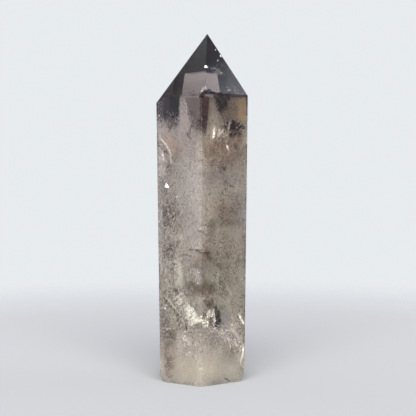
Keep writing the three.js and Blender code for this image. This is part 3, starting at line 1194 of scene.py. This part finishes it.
# Each sheet has its corners in the photo, its cover, its depth and its stains.
STAINS = {
    "ochre": sheet(
        [(238, 97.5), (246.4, 97.5), (246.2, 124), (237, 122)], 0.9, 1.0, [DULL_OCHRE, OCHRE],
        patchy=0.1, spread=0.1, fades=(0.25, 0.03, 0.03, 0.25),
    ),
    "brown": sheet(
        [(229, 98), (240, 97.5), (240, 125), (228, 124)], 0.8, 1.6, [BROWN, DULL_BROWN],
        patchy=0.2, spread=0.2, fades=(0.3, 0.2, 0.03, 0.2),
    ),
    "dark brown": sheet(
        [(221, 97), (231, 97), (230, 126), (222, 124)], 0.8, 2.0, [BROWN, DULL_BROWN], patchy=0.3,
        spread=0.3, fades=(0.3, 0.3, 0.05, 0.3),
    ),
    "umber": sheet(
        [(213, 93.5), (229, 96), (226, 112), (218, 113)], 0.35, 1.0, UMBER, patchy=1.0, spread=0.3,
        fades=(0.15, 0.3, 0.05, 0.5),
    ),
    "brown behind the rings": sheet(
        [(214, 95.5), (231, 96.8), (229, 118), (221, 118)], 0.8, 2.2, [BROWN, DULL_BROWN],
        patchy=0.2, spread=0.2, fades=(0.15, 0.2, 0.03, 0.3),
    ),
    "cone": sheet(
        [(208, 97), (216, 97), (226, 131), (205.2, 131)], 1.1, 2.0, [DULL_BROWN, GREENISH_CREAM],
        patchy=0.2, spread=0.2, fades=(0.06, 0.2, 0.03, 0.1),
    ),
    "cone, bright side": sheet(
        [(212, 104), (216, 104), (221, 131), (208, 131)], 1.0, 1.6, [GREENISH_CREAM, CREAM],
        patchy=0.3, spread=0.2, fades=(0.3, 0.3, 0.3, 0.2),
    ),
    "left rim": sheet(
        [(157.6, 102.5), (165, 99), (164, 122), (157, 120)], 0.5, 1.0, [PLUM, GREY_BROWN],
        patchy=0.3, spread=0.3, fades=(0.02, 0.7, 0.05, 0.2),
    ),
    "wedge": sheet(
        [(178.6, 98), (183.5, 98), (192, 131), (178.5, 131)], 0.9, 1.8, PINKISH_WHITE, patchy=0.0,
        spread=0.1, fades=(0.1, 0.15, 0.9, 0.05),
    ),
    "left shoulder": sheet(
        [(156.5, 112), (176, 128), (200, 150), (157.5, 158)], 0.55, 1.5, PINKISH_WHITE, patchy=0.5,
        spread=0.5, fades=(0.02, 0.2, 0.15, 0.3),
    ),
    "middle of the shoulder": sheet(
        [(178, 122), (201, 132), (201, 165), (178, 165)], 0.32, 1.5, PINKISH_WHITE, spread=0.5,
        fades=(0.2, 0.02, 0.25, 0.3),
    ),
    "right shoulder": sheet(
        [(204, 128), (246, 122), (246, 165), (202, 165)], 0.45, 1.8, [PEACH, GREENISH_CREAM],
        patchy=0.6, spread=0.5, fades=(0.02, 0.02, 0.25, 0.3),
    ),
    "bubbles": sheet(
        [(166, 116), (178.5, 117), (179, 134), (168, 130)], 0.35, 1.2, PLUM, spread=0.3,
        fades=(0.2, 0.2, 0.3, 0.3),
    ),
    "peach": sheet(
        [(159, 134), (174, 131), (186, 158), (171, 158)], 0.45, 1.2, PEACH,
        fades=(0.15, 0.6, 0.2, 0.4),
    ),
    "light middle, left": sheet(
        [(176, 150), (201, 150), (201, 250), (178, 250)], 0.55, 1.3, PEARL, spread=0.6,
        fades=(0.4, 0.02, 0.3, 0.3),
    ),
    "light middle, right": sheet(
        [(202, 170), (226, 170), (222, 225), (202, 225)], 0.3, 1.8, PEARL, spread=0.6,
        fades=(0.02, 0.5, 0.3, 0.3),
    ),
    "light right side": sheet(
        [(224, 150), (246, 150), (244.5, 310), (222, 310)], 0.6, 1.1, [PEARL, GREENISH_CREAM],
        spread=0.6, fades=(0.4, 0.02, 0.2, 0.2),
    ),
    "light olive, left": sheet(
        [(162.5, 262), (200, 262), (200, 345), (164, 345)], 0.6, 1.4, LIGHT_OLIVE, patchy=0.8,
        spread=0.5,
    ),
    "light olive, right": sheet(
        [(202, 262), (244.5, 262), (243, 345), (202, 345)], 0.6, 1.4, LIGHT_OLIVE, patchy=0.8,
        spread=0.5,
    ),
    "olive patch": sheet(
        [(204, 219), (217, 218), (218, 234), (206, 236)], 0.7, 1.3, OLIVE, patchy=0.7, spread=0.3,
        fades=(0.4, 0.4, 0.4, 0.4),
    ),
    "red-brown strip": sheet(
        [(202, 96.5), (209.5, 96.5), (205.6, 140), (202, 140)], 0.75, 0.9, MAROON, patchy=0.2,
        spread=0.15, fades=(0.01, 0.25, 0.03, 0.5),
    ),
    "lower left edge": sheet(
        [(162.6, 318), (178, 318), (178, 374), (165, 374)], 0.4, 0.5, [GREY_BROWN, RED_BROWN],
        spread=0.3, fades=(0.02, 0.6, 0.3, 0.2),
    ),
    "red-brown dust": sheet(
        [(202, 136), (245, 130), (245, 176), (202, 170)], 0.42, 0.9, RED_BROWN, patchy=1.0,
        fades=(0.02, 0.1, 0.3, 0.4),
    ),
    "left cloud": sheet(
        [(158, 201), (177, 203), (178, 230), (159, 228)], 0.34, 1.2, GREY_BROWN, patchy=0.8,
        spread=0.5, fades=(0.1, 0.3, 0.3, 0.3),
    ),
    "left cloud, lower": sheet(
        [(160, 238), (178, 240), (178, 260), (162, 258)], 0.3, 1.2, GREY_BROWN, patchy=0.8,
        spread=0.5, fades=(0.2, 0.4, 0.3, 0.3),
    ),
    "right cloud": sheet(
        [(218, 200), (240, 202), (243, 230), (217, 228)], 0.3, 1.2, [RED_BROWN, GREY_BROWN],
        patchy=0.8, spread=0.5, fades=(0.3, 0.2, 0.3, 0.3),
    ),
    "middle, right": sheet(
        [(202, 222), (232, 220), (244, 292), (202, 292)], 0.08, 0.9, OLIVE, patchy=0.8,
        fades=(0.02, 0.1, 0.2, 0.2),
    ),
    "diagonal": sheet(
        [(200, 244), (222, 254), (226, 272), (202, 262)], 0.22, 1.3, [RED_BROWN, OLIVE],
        patchy=0.8,
    ),
    "olive-brown band": sheet(
        [(180, 279), (226, 281), (224, 298), (182, 297)], 0.9, 1.0, [OLIVE, BROWN], patchy=0.6,
        fades=(0.25, 0.25, 0.35, 0.35),
    ),
    "dark mottling": sheet(
        [(214.8, 305), (222, 306), (222, 329), (214.8, 328)], 0.8, 1.1, BLACK, patchy=0.8,
        spread=0.1, fades=(0.02, 0.3, 0.3, 0.1),
    ),
    "bright block": sheet(
        [(201.8, 309), (214.5, 309), (214.5, 328), (203, 328)], 1.1, 1.0, CREAM, patchy=0.6,
        spread=0.12, fades=(0.1, 0.01, 0.25, 0.05),
    ),
    "oval": sheet(
        [(182, 307), (193, 306), (200, 322), (190, 325)], 1.2, 1.1, CREAM, patchy=0.3, spread=0.2,
        fades=(0.3, 0.15, 0.35, 0.2),
    ),
    "feathers": sheet(
        [(172, 294), (184, 292), (193, 310), (181, 313)], 0.5, 1.8, CREAM, patchy=0.8, slant=0.9,
    ),
    "column of cream": sheet(
        [(174, 246), (183, 246), (184, 288), (175, 288)], 0.9, 0.8, CREAM, patchy=0.7, spread=0.3,
        fades=(0.4, 0.4, 0.3, 0.3),
    ),
    "blue-grey patch": sheet(
        [(221, 308), (230, 308), (230, 328), (221, 328)], 0.4, 1.2, BLUE_GREY, patchy=0.5, spread=0.3,
    ),
    "foot corner": sheet(
        [(162.8, 352), (176, 353), (174, 380), (166.8, 378)], 0.7, 0.5, [GREY_BROWN, RED_BROWN],
        patchy=0.8, spread=0.2, fades=(0.02, 0.7, 0.4, 0.05),
    ),
    "glassy patch": sheet(
        [(208, 66.5), (217, 65.5), (226, 75.5), (217, 76)], 0.3, 0.8, [BLUE_GREY, GREENISH_CREAM],
        patchy=0.8, spread=0.2,
    ),
    "starburst": sheet(
        [(227, 120), (243, 118), (243, 138), (228, 138)], 1.0, 1.2, MAROON, spread=0.3,
        fades=(0.45, 0.45, 0.45, 0.45),
    ),
    "foot, left": sheet(
        [(161.8, 358), (200.5, 358), (200.5, 382.6), (166.5, 378.2)], 0.55, 0.6, CREAM,
        patchy=0.65, spread=0.25, fades=(0.7, SHARP, 0.6, SHARP),
    ),
    "foot, right": sheet(
        [(202, 356), (243.2, 356), (240, 377), (202, 382.6)], 0.62, 0.6, CREAM, patchy=0.65,
        spread=0.25, fades=(SHARP, 0.05, 0.6, SHARP),
    ),
    # Painted highlight: a pale strip of grains along the left side, where light bent by the side
    # shows bright.
    "left edge": sheet(
        [(158.3, 195), (163, 195), (165, 310), (159.8, 310)], 0.7, 0.4, [PEARL, GREENISH_CREAM],
        patchy=0.5, spread=0.12, fades=(0.02, 0.6, 0.2, 0.2),
    ),
    # Painted highlight: a pale strip of grains along the right side, where light bent by the side
    # shows bright.
    "right edge, painted highlight": sheet(
        [(239, 162), (246.3, 162), (246, 228), (240, 228)], 0.35, 0.6, [GREENISH_CREAM, BLUE_GREY],
        patchy=0.5, spread=0.3, fades=(0.3, 0.02, 0.2, 0.2),
    ),
}
DARKEST_GRAIN, PALEST_GRAIN = 0.7, 1.1
stained_grains, stained_tree = new_finish("stained_grains", {"Roughness": 0.6})
own_stain = node(stained_tree, "ShaderNodeAttribute", attribute_name="stain").outputs["Color"]
uneven = eased(stained_tree, own_shade(stained_tree), 0.0, 1.0, DARKEST_GRAIN, PALEST_GRAIN)
let_light_through(
    stained_tree, vector_math(stained_tree, "SCALE", own_stain, uneven), LIGHT_LET_THROUGH
)
sheets(
    "stains", stained_grains, STAINS, seed=31, smallest=0.045, largest=0.12, depth=0.2,
    stretch=1.6, tilt=0.7,
)

# A few flat breaks inside the stone hold a film of air, so they flash like mirrors when they
# face the light. Each is a flat flake, turned to send the window's light to the camera.
AIR_BREAKS = {
    "flash in the point": stroke(
        [(205.7, 66.8), (205.8, 66.9)], 1.0, 0.02, 1, size=2.8, slant=2.6,
    ),
    "upper speck 1": stroke([(215.6, 50), (216, 50)], 1.0, 0.1, 2, size=0.7, slant=0),
    "upper speck 2": stroke([(220.6, 56), (221, 56.5)], 1.0, 0.1, 2, size=0.9, slant=0),
    "upper speck 3": stroke([(217.6, 60.4), (217.8, 60.8)], 1.0, 0.1, 2, size=0.8, slant=0),
    "speck in the quad 1": stroke([(205.6, 86.8), (206, 87.2)], 1.5, 0.1, 2, size=0.9),
    "speck in the quad 2": stroke([(202, 91), (202.6, 91)], 1.5, 0.1, 2, size=0.8),
    "left flash": stroke([(159, 116), (159.1, 117)], 0.8, 0.1, 1, size=0.8),
    "left triangle": stroke([(167, 186), (167.1, 186.1)], 1.2, 0.02, 1, size=2.9, slant=2.6),
    "left spots": stroke([(162.5, 154.5), (163.4, 159)], 0.9, 0.2, 2, size=0.5),
    "left crack": stroke([(161, 139), (166, 145), (171, 153)], 0.9, 0.08, 1, size=0.4),
    "blob": stroke([(214.6, 129.5), (212.8, 137)], 1.2, 0.5, 6, size=0.8),
    "pink flash 1": stroke([(226.8, 145.5), (227.6, 148)], 1.3, 0.1, 2, size=1.2),
    "pink flash 2": stroke([(230.3, 150.3), (231, 151.7)], 1.3, 0.1, 2, size=1.0),
    "block": stroke([(203, 318), (214, 318)], 1.2, 1.8, 3, size=0.6, slant=0.4),
    "feather 1": stroke([(174, 300), (178, 296), (182, 293.5)], 0.8, 0.15, 2, size=0.35),
    "feather 2": stroke([(178, 305), (181.5, 301), (185.5, 298.5)], 0.8, 0.15, 2, size=0.35),
    "feather 3": stroke([(181, 309), (184.5, 305.5), (187.5, 303.5)], 0.8, 0.15, 2, size=0.35),
    "spot above the block": stroke([(207.8, 301.5), (208.4, 303.6)], 0.9, 0.12, 2, size=0.5),
    "right streaks": stroke([(240, 317), (243.4, 323.5)], 0.8, 0.15, 2, size=0.7),
    "right streak, middle": stroke([(231.4, 324), (233, 326.6)], 0.9, 0.1, 1, size=0.5),
    "right streak, low": stroke([(233.8, 340.5), (235.4, 343.6)], 0.9, 0.1, 1, size=0.5),
    "lens": stroke([(240, 361), (242.8, 354), (242.8, 346)], 0.8, 0.12, 2, size=0.6),
    "lower right cloud": stroke([(216, 328), (236, 344)], 1.4, 1.6, 2, size=0.5),
    "lower left cloud": stroke([(182, 333), (190, 343)], 1.4, 1.2, 2, size=0.5),
}
film_of_air, air_tree = new_finish("film_of_air", {"Metallic": 1.0, "Roughness": 0.25})
WARM_SILVER, COOL_SILVER = (0.98, 0.90, 0.80, 1), (0.94, 0.97, 1.0, 1)
silver = mixed_colour(air_tree, own_shade(air_tree), WARM_SILVER, COOL_SILVER)
feed(air_tree, air_tree.nodes["Principled BSDF"], {"Base Color": silver})
strokes(
    "air_breaks", film_of_air, AIR_BREAKS, seed=6, smallest=0.12, largest=0.22, depth=0.15,
    stretch=1.6, wander=0.0, step=0.3, tilt=0.08, twist=0.08, spin=0.15,
)

# The pearly oval, the feathers beside it and the bright block are breaks whose walls have
# healed in part. They are crowds of small air films, too dull and uneven to flash.
FEATHERS = [(173, 295), (184, 293), (192, 309), (181, 313)]
BRIGHT_BLOCK = [(202, 311), (214.3, 310), (214.3, 327.5), (203.5, 327.5)]
PEARLY_BREAKS = {
    "oval": sheet(
        [(183.5, 306), (193, 306.5), (200.8, 321.5), (188, 326.5)], 1.0, 0.85, patchy=0.5,
        spread=0.2, slant=2.3, fades=(0.3, 0.2, 0.35, 0.2),
    ),
    "feathers": sheet(FEATHERS, 0.22, 1.0, spread=0.3, slant=0.9),
    "bright block": sheet(
        BRIGHT_BLOCK, 0.62, 0.9, patchy=0.95, spread=0.2, fades=(0.1, 0.02, 0.3, 0.05),
    ),
    "column of cream": sheet(
        [(174, 262), (182, 262), (183, 288), (175, 288)], 0.2, 0.7, spread=0.3, slant=0.5,
    ),
}
dull_film_of_air, _ = new_finish(
    "dull_film_of_air", {"Base Color": (0.97, 0.94, 0.83, 1), "Metallic": 1.0, "Roughness": 0.42}
)
sheets(
    "pearly_breaks", dull_film_of_air, PEARLY_BREAKS, seed=47, smallest=0.05, largest=0.12,
    depth=0.25, stretch=1.9, tilt=0.35, twist=0.35, spin=0.5,
)

# Among them a few crumbs of the same breaks are still clean, and sparkle. Others are strewn
# over the clouds to the left and right of the foot.
SPARKLES = {
    "oval": sheet(
        [(185, 309), (194, 309), (200, 321), (191, 324)], 0.2, 1.0, patchy=0.4, spread=0.3,
        slant=2.3, fades=(0.3, 0.2, 0.3, 0.2),
    ),
    "feathers": sheet(FEATHERS, 0.1, 1.0, patchy=0.8, spread=0.3, slant=0.9),
    "bright block": sheet(
        BRIGHT_BLOCK, 0.2, 0.9, patchy=0.6, spread=0.2, fades=(0.1, 0.02, 0.3, 0.05),
    ),
    "left of the foot": sheet(
        [(176, 326), (196, 328), (192, 346), (176, 346)], 0.05, 1.2, patchy=0.8, spread=0.5,
        slant=0.8,
    ),
    "right of the foot": sheet(
        [(214, 322), (243, 318), (243, 350), (216, 352)], 0.05, 1.1, patchy=0.8, spread=0.5,
        slant=-0.6,
    ),
}
sheets(
    "sparkles", film_of_air, SPARKLES, seed=41, smallest=0.05, largest=0.12, depth=0.31,
    stretch=2.6, tilt=0.5, twist=0.5, spin=0.5,
)

# Under the polish of the two front flats lie short fine scratches and growth lines, dark and
# pale. Each sheet of them slants its own way, so the flats look combed.
HAIR_BROWN = (0.22, 0.145, 0.09)
LEFT_SIDE = [(158.6, 190), (182, 190), (186, 300), (161.2, 300)]
LOWER_LEFT = [(161.5, 255), (200, 258), (200, 352), (163, 352)]
MIDDLE_RIGHT = [(210, 232), (245.4, 230), (243.6, 304), (212, 304)]
BELOW_THE_BLOCK = [(204, 327), (243, 318), (243, 352), (206, 356)]
HATCHING = {
    "dark, left side": sheet(LEFT_SIDE, 0.08, 0.6, HAIR_BROWN, spread=0.35, slant=0.1),
    "pale, left side": sheet(LEFT_SIDE, 0.19, 0.6, [PINKISH_WHITE, CREAM], spread=0.35, slant=0.1),
    "left cloud": sheet(
        [(158.8, 198), (178, 200), (179, 231), (159.6, 229)], 0.12, 0.9, HAIR_BROWN, slant=0.05,
    ),
    "left cloud, lower": sheet(
        [(160, 237), (178, 239), (178, 262), (161.2, 260)], 0.12, 0.9, HAIR_BROWN, slant=0.2,
    ),
    "dark, lower left": sheet(LOWER_LEFT, 0.07, 0.7, HAIR_BROWN, spread=0.35, slant=0.4),
    "pale, lower left": sheet(LOWER_LEFT, 0.12, 0.8, CREAM, spread=0.35, slant=0.5),
    "dark, upper left": sheet(
        [(158.3, 132), (201, 132), (201, 255), (161, 255)], 0.012, 0.7, HAIR_BROWN, patchy=1.0,
        slant=0.2,
    ),
    "dark, upper right": sheet(
        [(204, 135), (246, 130), (245.4, 235), (204, 235)], 0.02, 0.7, HAIR_BROWN, patchy=1.0,
        slant=-0.3,
    ),
    "right cloud": sheet(
        [(218, 192), (242, 194), (243, 230), (217, 228)], 0.1, 0.9, HAIR_BROWN, slant=-0.2,
    ),
    "dark, middle right": sheet(MIDDLE_RIGHT, 0.11, 0.8, HAIR_BROWN, slant=-0.6),
    "pale, middle right": sheet(MIDDLE_RIGHT, 0.16, 0.8, CREAM, slant=-0.4),
    "bright block": sheet(
        [(201.8, 297), (214.5, 297), (214.5, 328), (202, 328)], 0.25, 0.6, HAIR_BROWN, spread=0.2,
        fades=(0.05, 0.05, 0.2, 0.05),
    ),
    "pale, below the block": sheet(BELOW_THE_BLOCK, 0.18, 0.8, [PINKISH_WHITE, CREAM], slant=-0.6),
    "dark, below the block": sheet(BELOW_THE_BLOCK, 0.05, 0.7, HAIR_BROWN, slant=-0.5),
    "pale, below the oval": sheet(
        [(166, 324), (200, 327), (198, 356), (166, 354)], 0.14, 0.8, [CREAM, PINKISH_WHITE],
        slant=0.6,
    ),
    "rings under the point": sheet(
        [(213, 93.8), (229.5, 95.8), (228, 112), (217, 113)], 0.16, 0.8, UMBER, patchy=0.8,
        spread=0.2, slant=1.0,
    ),
    "bubbles": sheet(
        [(165, 114), (178, 117), (179, 136), (166, 134)], 0.1, 0.8, HAIR_BROWN, spread=0.3,
        slant=0.4,
    ),
}
sheets(
    "hatching", stained_grains, HATCHING, seed=53, blotch_size=2.2, smallest=0.04, largest=0.13,
    depth=0.37, stretch=2.8, tilt=0.4, twist=0.7, spin=0.4,
)

# The smallest air films lie singly along veils through the whole column. They glint where they
# happen to face a light.
veils(
    "glints", film_of_air, grains=90000, seed=21, veil_size=9.0, veil_thickness=0.03,
    patch_start=0.40, patch_end=0.62, top=68.0, top_fade=8.0, smallest=0.05, largest=0.16,
    depth=0.7, tilt=0.5, twist=0.6, stretch=3.0, spin=0.6, sway=8.0,
)
